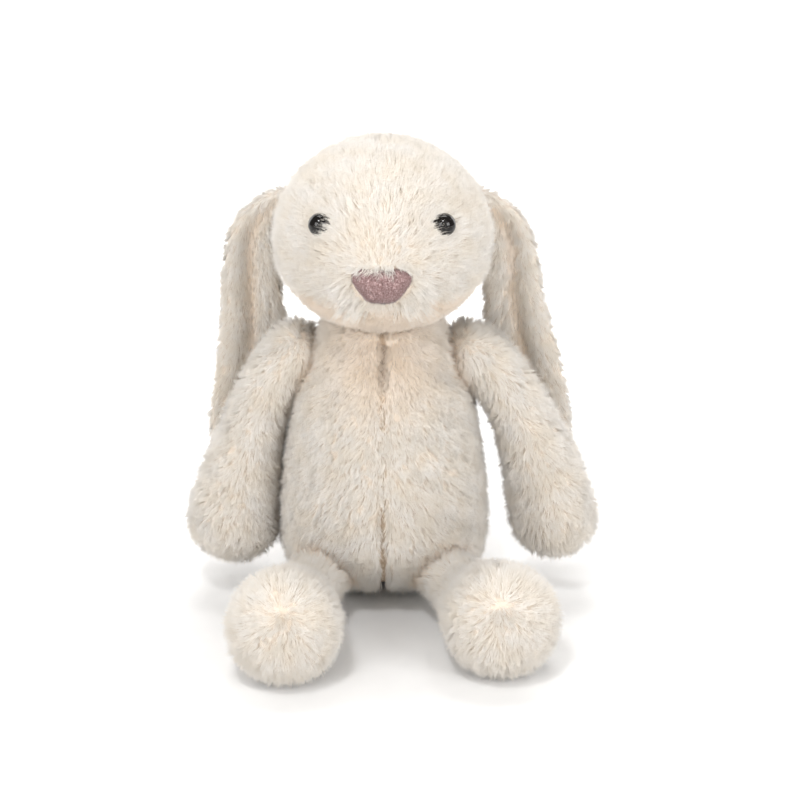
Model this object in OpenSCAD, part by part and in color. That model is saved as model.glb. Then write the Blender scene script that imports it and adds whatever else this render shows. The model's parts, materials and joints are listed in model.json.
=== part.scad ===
// Seated long-eared plush rabbit. Millimetres, +Z up, the face looks along -Y.
// The origin is the centre of the flat that the seat rests on.
// "Left" is the side at -X, "right" is the side at +X.

/* [Head] */
// Largest radius of the head, seen from above
head_r = 46.5; // [42:0.5:50]
// Half of the head's height
head_half_h = 43; // [40:0.5:44]
// Height of the head's middle above the floor
head_z = 172; // [170:0.5:176]
// How far the head's middle sits in front of the seat's centre
head_forward = 8; // [6:0.5:10]

/* [Face] */
// Diameter of an eye dome
eye_d = 10; // [8:0.5:12]
// Sideways distance of each eye from the middle
eye_x = 26.5; // [22:0.5:30]
// Height of the eyes above the head's middle
eye_up = 15.5; // [10:0.5:20]
// Width of the nose pad
nose_w = 25; // [20:0.5:28]
// Height of the nose pad
nose_h = 15; // [12:0.5:18]
// Height of the nose pad's middle, measured from the head's middle
nose_up = -7.5; // [-12:0.5:-4]

/* [Ears] */
// Length of an ear from its root to its tip
ear_length = 142; // [120:1:150]
// Full width of an ear at its widest
ear_w = 31; // [26:0.5:34]
// How far the left ear's tip hangs out from its root
ear_lean_left = 25; // [16:1:30]
// How far the right ear's tip hangs out from its root
ear_lean_right = 32; // [20:1:36]
// Thickness of each of an ear's two panels
ear_panel_t = 4; // [3:0.5:5]

/* [Torso] */
// Radius of the belly
belly_r = 44.5; // [40:0.5:46]
// Height at which the belly is widest
belly_z = 38; // [34:1:42]
// Radius of the neck
neck_r = 30; // [28:0.5:32]
// Height of the neck
neck_z = 125; // [122:0.5:125]
// Radius that the belly is rounded to, seen from the side
belly_round = 40; // [39:0.5:41]

/* [Arms] */
// Radius of an arm at the shoulder
shoulder_r = 12.5; // [12:0.5:13]
// Radius of a hand
hand_r = 19; // [17:0.5:20]
// Sideways distance of the left hand from the middle
hand_x_left = 70; // [69:0.5:74]
// Sideways distance of the right hand from the middle
hand_x_right = 77.5; // [70:0.5:80]
// Height of the middle of the hands
hand_z = 36; // [34:1:40]

/* [Legs] */
// Radius of a leg at the hip
hip_r = 13.5; // [12:0.5:15]
// Radius of a foot
foot_r = 24; // [22:0.5:25]
// Distance from the hip to the middle of the foot
leg_length = 66; // [60:1:72]
// Outward turn of the left leg, in degrees
splay_left = 14.5; // [12:0.5:24]
// Outward turn of the right leg, in degrees
splay_right = 23; // [18:0.5:30]

/* [Fabric and filling] */
// Thickness of the plush, backing and flattened pile together
plush_t = 4; // [3:0.5:5]
// Radius of the pellet pouch in each foot
foot_pouch_r = 11; // [8:0.5:12]
// Radius of the pellet pouch in the seat
seat_pouch_r = 18; // [14:1:18]
// Radius of the tail
tail_r = 13; // [10:0.5:14]
// Thickness of the seam thread
thread_t = 1; // [0.8:0.1:1.2]

/* [Hidden] */

$fn = 96;
plush_colour = [0.93, 0.89, 0.84];
filling_colour = [0.97, 0.97, 0.96];
pellet_colour = [0.82, 0.84, 0.86];
thread_colour = [0.86, 0.79, 0.70];
nose_colour = [0.75, 0.60, 0.60];
eye_colour = [0.03, 0.03, 0.03];
washer_colour = [0.95, 0.95, 0.95];

fit_gap = 0.2; // between a cover and its filling
joint_gap = 0.6; // between two pieces that move against each other
far = 400; // longer than the whole toy

limb_waist = 0.5; // how much thinner a limb is than the balls at its ends

// Neck: the head turns and nods about this point
neck_pos = [0, -head_forward, 125];
neck_ball_r = 11;

// Torso
chest_step = 1.6; // how far the chest's lower edge sits inside the belly's widest line

// Shoulders and hips
shoulder_x = 38;
shoulder_z = 116;
shoulder_ease = 3;
elbow_z = 88;
elbow_x = 57.5;
hip_x = 25;
hip_y = -27;
hip_z = 22;
leg_up = 25; // how far a leg swings up from the floor
leg_waist_r = hip_r - 1;
leg_room_ease = 2.5; // extra room in the lap, because a leg widens towards its foot
leg_ankle_r = foot_r - 4;
foot_flat = 0.5; // how much of the foot's ball is flattened where it rests
foot_pouch_drop = 2;

// Ears: each swings outwards about a line along Y through its root
ear_root_x = 44;
ear_root_z = 184;
ear_root_r = 7;
ear_notch_ease = 3; // extra room round an ear's root
ear_tip_r = 5;
ear_front_y = 4; // front face at the root
ear_behind_arm = 24; // how much further back the part behind the arm hangs
ear_drift = 6; // the rest of the way back, spread over the whole length

// Eyes: the place and the direction of an eye on the head's skin
eye_ring_r = head_r - head_half_h + sqrt(head_half_h * head_half_h - eye_up * eye_up);
eye_forward = sqrt(eye_ring_r * eye_ring_r - eye_x * eye_x);
eye_lean = asin(eye_x / eye_ring_r);
eye_look_up = asin(eye_up / head_half_h);
eye_sink = 1; // depth of the eye's seat in the plush
shank_r = 1.8;
shank_length = 13;
washer_r = 6;
washer_t = 1.5;
washer_depth = plush_t + 0.6;

// Nose
nose_depth = 5;
nose_proud = 1.8; // how far the pad's face stands in front of the head
nose_face_r = 22; // radius that the pad's face is rounded to
nose_corner_r = 4.5;

// Pellet pouch in the seat
seat_pouch_y = 13;
seat_pouch_z = 18;
seat_pouch_half_h = 9;

// Tail
tail_z = 30;
tail_flat = 4; // how much of the tail's ball is cut flat where it is sewn on
tail_plush_t = plush_t - 1;

// Seam threads run between these heights
seam_bottom_z = 5;
seam_top_z = 114;

// Points along an arc round c, of radius r, between two angles
function arc(c, r, from, to, steps = 9) = [
    for (i = [0:steps]) let (angle = from + (to - from) * i / steps) c + r * [cos(angle), sin(angle)]
];

// Smooth step from 0 to 1 as t goes from 0 to 1
function ease(t) = t <= 0 ? 0 : t >= 1 ? 1 : t * t * (3 - 2 * t);

// ---- shapes shared by several pieces ----

// A ball flattened from above: a torus-edged drum, radius r and half height h
module flat_ball(r, h) {
    rotate_extrude() {
        intersection() {
            union() {
                translate([r - h, 0]) circle(r = h);
                translate([0, -h]) square([r - h, 2 * h]);
            }
            translate([0, -h]) square([r, 2 * h]);
        }
    }
}

// Straight taper from p, radius r1, to q, radius r2, with no ball at its ends
module taper(p, q, r1, r2) {
    v = q - p;
    translate(p) rotate([0, acos(v[2] / norm(v)), atan2(v[1], v[0])]) cylinder(h = norm(v), r1 = r1, r2 = r2);
}

// A chain of balls joined by slightly thinner tapers
module limb(points, radii, inset) {
    for (i = [0:len(points) - 1])
        translate(points[i]) sphere(r = radii[i] - inset);
    for (i = [0:len(points) - 2])
        taper(points[i], points[i + 1], radii[i] - inset - limb_waist, radii[i + 1] - inset - limb_waist);
}

// ---- torso ----

// Half outline of the torso, from its middle line outwards: a round belly and a tapering chest
module torso_outline(inset) {
    chest = [belly_r - chest_step - inset, belly_z + belly_round / 4];
    intersection() {
        union() {
            translate([belly_r - belly_round, belly_z]) circle(r = belly_round - inset);
            polygon([[0, belly_z], chest, [neck_r - inset, neck_z], [0, neck_z]]);
            translate([0, inset]) square([belly_r - belly_round, neck_z / 2]);
        }
        translate([0, inset]) square([far, neck_z - 2 * inset]);
    }
}

// Room for a shoulder, with ease for the arm's inner side as it swings
module shoulder_room(side, grow) {
    translate([side * shoulder_x, 0, shoulder_z]) sphere(r = shoulder_r + shoulder_ease + grow);
}

// Room for a hip, and for the leg as it swings down to standing and up towards the belly
module hip_room(side, grow) {
    inner_x = hip_x - hip_r - grow;
    start_x = side > 0 ? inner_x : -inner_x - far;
    translate([start_x, hip_y, hip_z]) {
        rotate([0, 90, 0]) cylinder(h = far, r = hip_r + grow);
        translate([0, -far, -far]) cube([far, far + hip_r + grow + leg_room_ease, far]);
        rotate([-leg_up, 0, 0]) translate([0, -far, -far])
            cube([far, far, far + hip_r + grow + leg_room_ease]);
    }
}

// Everything that moves into the torso's space, swollen by grow
module torso_hollows(grow) {
    translate(neck_pos) sphere(r = neck_ball_r + grow);
    for (side = [-1, 1]) {
        shoulder_room(side, grow);
        hip_room(side, grow);
    }
}

module torso_form(inset) {
    difference() {
        rotate_extrude() torso_outline(inset);
        torso_hollows(joint_gap + inset);
    }
}

// A flat slice of thread in the plane of symmetry, along the torso's skin
module seam_slice(side) {
    rotate([0, 0, 90 * side]) rotate([90, 0, 0]) translate([0, 0, -thread_t / 2])
        linear_extrude(thread_t) intersection() {
            difference() {
                torso_outline(0);
                torso_outline(thread_t);
            }
            translate([0, seam_bottom_z]) square([far, seam_top_z - seam_bottom_z]);
        }
}

module torso_cover() {
    color(plush_colour) difference() {
        torso_form(0);
        torso_form(plush_t);
        seam_slice(-1);
        seam_slice(1);
    }
}

module seat_pouch_form(grow) {
    translate([0, seat_pouch_y, seat_pouch_z]) flat_ball(seat_pouch_r + grow, seat_pouch_half_h + grow);
}

module torso_stuffing() {
    color(filling_colour) difference() {
        torso_form(plush_t + fit_gap);
        seat_pouch_form(fit_gap);
    }
}

module seat_pellet_pouch() {
    color(pellet_colour) seat_pouch_form(0);
}

module front_seam_thread() {
    color(thread_colour) seam_slice(-1);
}

module back_seam_thread() {
    color(thread_colour) seam_slice(1);
}

// ---- tail ----

module tail_form(inset) {
    translate([0, belly_r + fit_gap, tail_z]) rotate([-90, 0, 0]) rotate_extrude() intersection() {
        translate([0, tail_r - tail_flat]) circle(r = tail_r - inset);
        translate([0, inset]) square(2 * tail_r);
    }
}

module tail_cover() {
    color(plush_colour) difference() {
        tail_form(0);
        tail_form(tail_plush_t);
    }
}

module tail_stuffing() {
    color(filling_colour) tail_form(tail_plush_t + fit_gap);
}

// ---- head ----

module head_ball(inset) {
    translate([0, -head_forward, head_z]) flat_ball(head_r - inset, head_half_h - inset);
}

// The ball in the neck, which stays with the torso as the head nods
module neck_stuffing() {
    color(filling_colour) difference() {
        translate(neck_pos) sphere(r = neck_ball_r);
        translate(neck_pos + [0, 0, 3]) cylinder(h = far, r = neck_ball_r);
    }
}

// Outline of the nose: a triangle with round corners, point down
module nose_outline() {
    top = [nose_w / 2 - nose_corner_r, nose_h / 2 - nose_corner_r];
    low = [0, nose_corner_r - nose_h / 2];
    side = atan2(low[0] - top[0], top[1] - low[1]);
    polygon(concat(
        arc(top, nose_corner_r, 90, side),
        arc(low, nose_corner_r, side, -180 - side),
        arc([-top[0], top[1]], nose_corner_r, -180 - side, -270)
    ));
}

// The nose pad, let into the skin, its face rounded off by a ball
module nose_block() {
    front_y = -head_forward - head_r - nose_proud;
    intersection() {
        translate([0, front_y + nose_depth, head_z + nose_up]) rotate([90, 0, 0])
            linear_extrude(nose_depth) nose_outline();
        translate([0, front_y + nose_face_r, head_z + nose_up]) sphere(r = nose_face_r);
    }
}

// Places its children at an eye, +Z pointing out of the head
module at_eye(side) {
    translate([side * eye_x, -head_forward - eye_forward, head_z + eye_up])
        rotate([90 - eye_look_up, 0, side * eye_lean]) children();
}

module eye(side) {
    color(eye_colour) at_eye(side) translate([0, 0, -eye_sink]) {
        intersection() {
            sphere(d = eye_d);
            cylinder(h = eye_d, r = eye_d);
        }
        translate([0, 0, -shank_length]) cylinder(h = shank_length + 1, r = shank_r);
    }
}

module eye_washer(side) {
    color(washer_colour) at_eye(side) translate([0, 0, -washer_depth - washer_t]) difference() {
        cylinder(h = washer_t, r = washer_r);
        translate([0, 0, -washer_t]) cylinder(h = 3 * washer_t, r = shank_r);
    }
}

// The eye's seat in the plush and the hole for its shank
module eye_seat(side) {
    at_eye(side) {
        translate([0, 0, -eye_sink]) cylinder(h = eye_d, d = eye_d);
        translate([0, 0, -shank_length]) cylinder(h = shank_length, r = shank_r);
    }
}

// Room in the filling for the shank and the washer
module washer_room(side) {
    at_eye(side) {
        translate([0, 0, -eye_sink - shank_length - fit_gap])
            cylinder(h = shank_length, r = shank_r + fit_gap);
        translate([0, 0, -washer_depth - washer_t - fit_gap])
            cylinder(h = eye_d, r = washer_r + fit_gap);
    }
}

// Round notch at each side of the head for the root of an ear
module ear_notches(grow) {
    for (side = [-1, 1]) translate([side * ear_root_x, ear_front_y - 1 - grow, ear_root_z])
        rotate([-90, 0, 0]) cylinder(h = far, r = ear_root_r + grow);
}

module head_form(inset) {
    difference() {
        head_ball(inset);
        translate(neck_pos) sphere(r = neck_ball_r + joint_gap + inset);
        ear_notches(ear_notch_ease + joint_gap + inset);
    }
}

module head_cover() {
    color(plush_colour) difference() {
        head_form(0);
        head_form(plush_t);
        nose_block();
        for (side = [-1, 1]) eye_seat(side);
    }
}

module head_stuffing() {
    color(filling_colour) difference() {
        head_form(plush_t + fit_gap);
        for (side = [-1, 1]) washer_room(side);
    }
}

module nose_pad() {
    color(nose_colour) nose_block();
}

// ---- ears ----

// Front view of an ear, root at the origin and hanging down, leaning to -X
module ear_outline(lean) {
    steps = 20;
    spine = [for (i = [0:steps]) let (t = i / steps)
        [-lean * (0.45 * ease(t * 8) + 0.55 * t), -t * ear_length]
    ];
    half = [for (i = [0:steps]) let (t = i / steps)
        ear_root_r + (ear_w / 2 - ear_root_r) * ease(t * 2.4) - (ear_w / 2 - ear_tip_r) * ease(t * 3.6 - 2.6)
    ];
    polygon(concat(
        arc([0, 0], ear_root_r, 170, 10),
        [for (i = [0:steps]) spine[i] + [half[i], 0]],
        [for (i = [steps:-1:0]) spine[i] - [half[i], 0]]
    ));
}

// Side view of one panel: a strip that drops from the root and passes behind the arm
module panel_strip(front, back) {
    steps = 16;
    top = ear_root_r + 1;
    strip = [for (i = [0:steps]) let (t = i / steps)
        [ear_front_y + ear_behind_arm * ease(t * 2.1) + ear_drift * t, top - t * (ear_length + top)]
    ];
    polygon(concat(
        [for (p = strip) [p[0] + front, p[1]]],
        [for (i = [steps:-1:0]) [strip[i][0] + back, strip[i][1]]]
    ));
}

module ear_panel(side, lean, front, back) {
    color(plush_colour) translate([side * ear_root_x, 0, ear_root_z]) mirror([side > 0 ? 1 : 0, 0, 0])
        intersection() {
            translate([0, far / 2, 0]) rotate([90, 0, 0]) linear_extrude(far) ear_outline(lean);
            rotate([90, 0, 90]) translate([0, 0, -far / 2]) linear_extrude(far) panel_strip(front, back);
        }
}

// ---- arms ----

module arm_form(side, hand_x, inset) {
    limb(
        [[side * shoulder_x, 0, shoulder_z], [side * elbow_x, 0, elbow_z], [side * hand_x, 0, hand_z]],
        [shoulder_r, shoulder_r, hand_r],
        inset
    );
}

module arm_cover(side, hand_x) {
    color(plush_colour) difference() {
        arm_form(side, hand_x, 0);
        arm_form(side, hand_x, plush_t);
    }
}

module arm_stuffing(side, hand_x) {
    color(filling_colour) arm_form(side, hand_x, plush_t + fit_gap);
}

// ---- legs ----

// Places its children with +Y running back from the foot to the hip at the origin
module at_leg(side, splay) {
    translate([side * hip_x, hip_y, hip_z]) rotate([0, 0, side * splay]) children();
}

module leg_form(side, splay, inset) {
    difference() {
        at_leg(side, splay) {
            sphere(r = hip_r - inset);
            rotate([90, 0, 0]) cylinder(h = leg_length, r1 = leg_waist_r - inset, r2 = leg_ankle_r - inset);
            translate([0, -leg_length, foot_r - foot_flat - hip_z]) sphere(r = foot_r - inset);
        }
        translate([0, 0, inset - far]) linear_extrude(far) square(far, center = true);
    }
}

module foot_pouch_form(side, splay, grow) {
    at_leg(side, splay) translate([0, -leg_length, -foot_pouch_drop]) sphere(r = foot_pouch_r + grow);
}

module leg_cover(side, splay) {
    color(plush_colour) difference() {
        leg_form(side, splay, 0);
        leg_form(side, splay, plush_t);
    }
}

module leg_stuffing(side, splay) {
    color(filling_colour) difference() {
        leg_form(side, splay, plush_t + fit_gap);
        foot_pouch_form(side, splay, fit_gap);
    }
}

module foot_pellet_pouch(side, splay) {
    color(pellet_colour) foot_pouch_form(side, splay, 0);
}

// ---- every node ----

torso_cover();
torso_stuffing();
seat_pellet_pouch();
front_seam_thread();
back_seam_thread();
tail_cover();
tail_stuffing();
neck_stuffing();
head_cover();
head_stuffing();
nose_pad();
eye(-1);  // eye_left
eye(1);  // eye_right
eye_washer(-1);  // eye_washer_left
eye_washer(1);  // eye_washer_right
ear_panel(-1, ear_lean_left, 0, ear_panel_t);  // ear_left_front_panel
ear_panel(-1, ear_lean_left, ear_panel_t, 2 * ear_panel_t);  // ear_left_back_panel
ear_panel(1, ear_lean_right, 0, ear_panel_t);  // ear_right_front_panel
ear_panel(1, ear_lean_right, ear_panel_t, 2 * ear_panel_t);  // ear_right_back_panel
arm_cover(-1, hand_x_left);  // arm_left_cover
arm_stuffing(-1, hand_x_left);  // arm_left_stuffing
arm_cover(1, hand_x_right);  // arm_right_cover
arm_stuffing(1, hand_x_right);  // arm_right_stuffing
leg_cover(-1, splay_left);  // leg_left_cover
leg_stuffing(-1, splay_left);  // leg_left_stuffing
foot_pellet_pouch(-1, splay_left);  // foot_left_pellet_pouch
leg_cover(1, splay_right);  // leg_right_cover
leg_stuffing(1, splay_right);  // leg_right_stuffing
foot_pellet_pouch(1, splay_right);  // foot_right_pellet_pouch
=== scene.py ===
"""Looks of the seated plush rabbit: padded skins, fur, nose, eyes, seams, camera and light.

The face looks along -Y, +Z is up. Everything is in metres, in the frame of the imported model.
"""

import json
import math

import bmesh
import bpy
import numpy as np
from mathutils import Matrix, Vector
from mathutils.bvhtree import BVHTree


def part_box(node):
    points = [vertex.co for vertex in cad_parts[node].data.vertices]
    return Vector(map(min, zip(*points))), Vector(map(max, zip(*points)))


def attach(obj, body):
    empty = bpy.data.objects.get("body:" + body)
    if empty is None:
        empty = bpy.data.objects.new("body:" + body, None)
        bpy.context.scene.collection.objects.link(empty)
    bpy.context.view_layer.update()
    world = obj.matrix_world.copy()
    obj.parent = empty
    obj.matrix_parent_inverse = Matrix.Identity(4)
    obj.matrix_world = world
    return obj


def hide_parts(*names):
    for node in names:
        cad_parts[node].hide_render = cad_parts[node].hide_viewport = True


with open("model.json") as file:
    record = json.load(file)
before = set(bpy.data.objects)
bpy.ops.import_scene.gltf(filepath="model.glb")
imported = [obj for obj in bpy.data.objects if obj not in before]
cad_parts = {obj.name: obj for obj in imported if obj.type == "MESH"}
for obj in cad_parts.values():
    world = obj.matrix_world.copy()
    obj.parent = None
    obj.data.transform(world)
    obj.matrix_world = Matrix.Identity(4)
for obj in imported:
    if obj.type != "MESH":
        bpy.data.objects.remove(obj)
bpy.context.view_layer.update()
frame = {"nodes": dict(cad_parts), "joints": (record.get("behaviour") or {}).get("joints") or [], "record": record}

MM = 0.001
SIDES = {"left": -1, "right": 1}
UP = np.array([0.0, 0.0, 1.0])
FRONT = np.array([0.0, -1.0, 0.0])


# ---- measures taken from the frame ----

def corners(node):
    low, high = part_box(node)
    return np.array(low), np.array(high)


def pivot(name):
    joint = next(j for j in frame["joints"] if j["name"] == name)
    return np.array(joint["pos_m"], float)


SKIN_INSET = 2.2 * MM     # the skin lies this far inside the CAD cover
PILE = 5.6 * MM           # usual length of the pile

_, torso_high = corners("torso_cover")
tail_low, tail_high = corners("tail_cover")

head_low, head_high = corners("head_cover")
HEAD_C = (head_low + head_high) / 2
HEAD_RX = (head_high[0] - head_low[0]) / 2 - SKIN_INSET
HEAD_RZ = (head_high[2] - head_low[2]) / 2 - SKIN_INSET

nose_low, nose_high = corners("nose_pad")
NOSE_C = (nose_low + nose_high) / 2
NOSE_W = nose_high[0] - nose_low[0]
NOSE_H = nose_high[2] - nose_low[2]

EYE_R = 5.0 * MM


# ---- small maths ----

def ease(t):
    t = np.clip(t, 0.0, 1.0)
    return t * t * (3 - 2 * t)


def unit(v):
    return v / np.maximum(np.linalg.norm(v, axis=-1, keepdims=True), 1e-12)


def spline(x, xs, ys):
    """A smooth curve through the points (xs, ys), read at x."""
    xs, ys, x = np.asarray(xs, float), np.asarray(ys, float), np.asarray(x, float)
    slopes = np.gradient(ys, xs)
    i = np.clip(np.searchsorted(xs, x) - 1, 0, len(xs) - 2)
    step = xs[i + 1] - xs[i]
    t = np.clip((x - xs[i]) / step, 0, 1)
    return (
        (2 * t ** 3 - 3 * t ** 2 + 1) * ys[i] + (t ** 3 - 2 * t ** 2 + t) * step * slopes[i]
        + (3 * t ** 2 - 2 * t ** 3) * ys[i + 1] + (t ** 3 - t ** 2) * step * slopes[i + 1]
    )


def swirl(points, wavelength, seed):
    """A smooth random vector for each point, with features about a wavelength across."""
    rng = np.random.default_rng(seed)
    out = np.zeros_like(points)
    for octave in range(2):
        k = 2 * math.pi / wavelength * (1 + octave)
        for axis in range(3):
            for _ in range(3):
                direction = unit(rng.normal(size=3))
                phase = rng.uniform(0, 2 * math.pi)
                out[:, axis] += np.sin(points @ direction * k + phase) / (1 + octave)
    return out / 3


# ---- meshes ----

def new_mesh(name, points, faces):
    """A smooth-shaded piece, linked to the scene."""
    mesh = bpy.data.meshes.new(name)
    mesh.from_pydata([tuple(p) for p in points], [], faces)
    mesh.update()
    mesh.polygons.foreach_set("use_smooth", np.ones(len(mesh.polygons), bool))
    piece = bpy.data.objects.new(name, mesh)
    bpy.context.scene.collection.objects.link(piece)
    return piece


def rings_to_mesh(name, rings, first, last):
    """A closed tube through the rings, with one point at each end."""
    count, around = rings.shape[:2]
    # the faces look outward when the rings turn right-handed round the way from first to last
    middle = rings[count // 2]
    turn = np.cross(middle[0] - middle.mean(0), middle[1] - middle.mean(0))
    if turn @ (np.asarray(last) - np.asarray(first)) < 0:
        rings = rings[:, ::-1]
    points = [first] + [p for ring in rings for p in ring] + [last]
    end = len(points) - 1
    faces = []
    for j in range(around):
        k = (j + 1) % around
        faces.append((0, 1 + k, 1 + j))
        base = 1 + (count - 1) * around
        faces.append((end, base + j, base + k))
        for i in range(count - 1):
            a, b = 1 + i * around, 1 + (i + 1) * around
            faces.append((a + j, a + k, b + k, b + j))
    return new_mesh(name, points, faces)


def tube(name, path, radius, through, around=48, steps=64):
    """A closed tube along path(t), radius(t) from its spine. The radius falls to nothing at both ends."""
    t = np.linspace(0, 1, steps + 1)
    spine = np.array([path(v) for v in t])
    along = unit(np.gradient(spine, axis=0))
    across = unit(np.cross(along, through))
    depth = unit(np.cross(across, along))
    r = np.array([radius(v) for v in t])
    angles = np.linspace(0, 2 * math.pi, around, endpoint=False)
    rings = (
        spine[:, None] + across[:, None] * (r[:, None] * np.cos(angles))[..., None]
        + depth[:, None] * (r[:, None] * np.sin(angles))[..., None]
    )
    return rings_to_mesh(name, rings[1:-1], spine[0], spine[-1])


# ---- skins: the padded cloth bodies that the fur grows on ----

def torso_skin():
    """The seated body: half its width at each height, lifted in front where it meets the lap."""
    height = np.array([2, 5, 10, 17, 24, 38, 48, 66, 85, 95, 110, 120, 128, 135, 141]) * MM
    half_w = np.array([18, 30.5, 37.5, 42, 43.8, 44.3, 44.1, 42.2, 39.2, 37.4, 33, 29.3, 26, 22, 12]) * MM
    depth = 0.95    # of the width
    z = np.linspace(height[0], height[-1], 72)
    w = spline(z, height, half_w)
    angles = np.linspace(0, 2 * math.pi, 128, endpoint=False)
    rings = np.zeros((len(z), len(angles), 3))
    rings[..., 0] = w[:, None] * np.cos(angles)
    rings[..., 1] = depth * w[:, None] * np.sin(angles) - 5 * MM * ease((z - 100 * MM) / (40 * MM))[:, None]
    lift = 0.42 * np.maximum(0, -rings[..., 1] - 2 * MM)
    rings[..., 2] = z[:, None] + lift * (1 - ease(z / (50 * MM)))[:, None]
    # the centre-front and centre-back seams pull the cloth in
    pull, reach = 1.2 * MM, 5 * MM
    rings[..., 1] -= np.sign(np.sin(angles)) * pull * np.exp(-(rings[..., 0] / reach) ** 2)
    first, last = rings[0].mean(0) - [0, 0, 0.6 * MM], rings[-1].mean(0) + [0, 0, 2 * MM]
    return rings_to_mesh("torso_skin", rings, first, last)


def chest_seam(z):
    """How deep the body's centre seam is under the chin, from 0 to 1, at each height."""
    return ease((z - 100 * MM) / (16 * MM))


def belly_seam(z):
    """How deep the body's centre seam is under the belly, from 0 to 1, at each height."""
    return ease((62 * MM - z) / (14 * MM))


def seam_strength(z):
    return chest_seam(z) + belly_seam(z)


def head_radius(direction):
    """Distance from the head's middle to its skin, along each unit direction."""
    x, y, z = direction[:, 0], direction[:, 1], direction[:, 2]
    base = 1 / np.sqrt((x * x + y * y) / HEAD_RX ** 2 + z * z / HEAD_RZ ** 2)

    def bump(centre, spread, height):
        angle = np.arccos(np.clip(direction @ unit(np.array(centre)), -1, 1))
        return height * np.exp(-(angle / spread) ** 2)

    r = base + bump([0, -1, -0.26], 0.48, 5.5 * MM)              # muzzle
    for sign in SIDES.values():
        r += bump([sign * 0.8, -0.55, -0.38], 0.45, 1.6 * MM)    # cheek
        r -= bump([sign * 0.56, -0.76, 0.36], 0.14, 1.8 * MM)    # eye socket
    return r


def head_skin():
    lat = np.linspace(-math.pi / 2, math.pi / 2, 74)[1:-1]
    lon = np.linspace(0, 2 * math.pi, 112, endpoint=False)
    directions = np.stack([
        np.cos(lat)[:, None] * np.cos(lon), np.cos(lat)[:, None] * np.sin(lon),
        np.repeat(np.sin(lat)[:, None], len(lon), 1)
    ], -1)
    r = head_radius(directions.reshape(-1, 3)).reshape(directions.shape[:2])
    rings = HEAD_C + directions * r[..., None]
    ends = [HEAD_C + way * UP * head_radius(way * UP[None])[0] for way in (-1, 1)]
    return rings_to_mesh("head_skin", rings, *ends)


def capped(t, length, r_start, r_end, middle, square):
    """Radius of a limb whose ends are balls, at fraction t of its whole length, caps included."""
    s = -r_start + t * (length + r_start + r_end)
    if s < 0:
        return r_start * math.sqrt(max(0.0, 1 - (s / r_start) ** 2))
    if s > length:
        return r_end * max(0.0, 1 - ((s - length) / r_end) ** square) ** (1 / square)
    return float(middle(s / length))


def limb(name, curve, r_start, r_end, shape, through, square=2.0):
    """A limb along curve(t) between the middles of its two end balls, shape(t) its radius between them.

    A larger square gives a blunter far end.
    """
    samples = np.array([curve(v) for v in np.linspace(0, 1, 60)])
    gaps = np.linalg.norm(np.diff(samples, axis=0), axis=1)
    distance = np.concatenate([[0], np.cumsum(gaps)])
    length = distance[-1]
    start_dir, end_dir = unit(samples[0] - samples[1]), unit(samples[-1] - samples[-2])

    def place(t):
        return -r_start + t * (length + r_start + r_end)

    def spaced(t):
        # close together at both ends, which keeps the balls smooth
        return 0.5 - 0.5 * math.cos(math.pi * t)

    def path(t):
        s = place(spaced(t))
        if s < 0:
            return samples[0] - start_dir * s
        if s > length:
            return samples[-1] + end_dir * (s - length)
        return np.array([np.interp(s, distance, samples[:, k]) for k in range(3)])

    def radius(t):
        return capped(spaced(t), length, r_start, r_end, shape, square)

    return tube(name, path, radius, through)


def bezier(a, b, c):
    return lambda t: (1 - t) ** 2 * a + 2 * t * (1 - t) * b + t * t * c


def arm_line(side):
    """Shoulder, bend and hand middle of an arm, and the radius of its hand."""
    low, high = corners(f"arm_{side}_cover")
    r = (high[1] - low[1]) / 2
    sign = SIDES[side]
    shoulder = pivot(f"arm_{side}_raise")
    outer = high[0] if sign > 0 else low[0]
    hand = np.array([outer - sign * r, 0.0, low[2] + r + 1.5 * MM])
    if side == "left":    # this hand leans on the body
        hand[0] += 2.2 * MM
        r += 1.6 * MM
    bend = shoulder + (hand - shoulder) * [0.66, 0, 0.2]
    return shoulder, bend, hand, r


def arm_skin(side):
    shoulder, bend, hand, r = arm_line(side)
    hand_r = r - SKIN_INSET + 0.4 * MM
    root_r = 12.3 * MM

    def shape(t):
        return spline(t, [0, 0.25, 0.5, 0.75, 1], [root_r, 11.0 * MM, 12.3 * MM, 15.3 * MM, hand_r])

    line = bezier(shoulder, bend, hand)
    return limb(f"arm_{side}_skin", line, root_r, hand_r, shape, [0.0, 1.0, 0.0], square=2.5)


def leg_line(side):
    """Hip and foot middle of a leg, and the radius of its foot."""
    low, high = corners(f"leg_{side}_cover")
    r = (high[2] - low[2]) / 2
    sign = SIDES[side]
    outer = high[0] if sign > 0 else low[0]
    hip = pivot(f"leg_{side}_swing")
    back = {"left": 0, "right": 3 * MM}[side]    # the right foot sits further back in its cover
    return hip, np.array([outer - sign * r, low[1] + r + back, low[2] + r]), r


def leg_skin(side):
    hip, foot, r = leg_line(side)
    foot_r = r - SKIN_INSET + 1.0 * MM
    root_r = 10.5 * MM
    splay = {"left": 0.75, "right": 0.45}[side]
    knee = hip + (foot - hip) * [splay, 0.3, 0] - UP * 5 * MM

    def shape(t):
        return spline(t, [0, 0.3, 0.5, 0.75, 1], [root_r, 11.5 * MM, 13.5 * MM, 19 * MM, foot_r])

    return limb(f"leg_{side}_skin", bezier(hip, knee, foot), root_r, foot_r, shape, UP)


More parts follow.
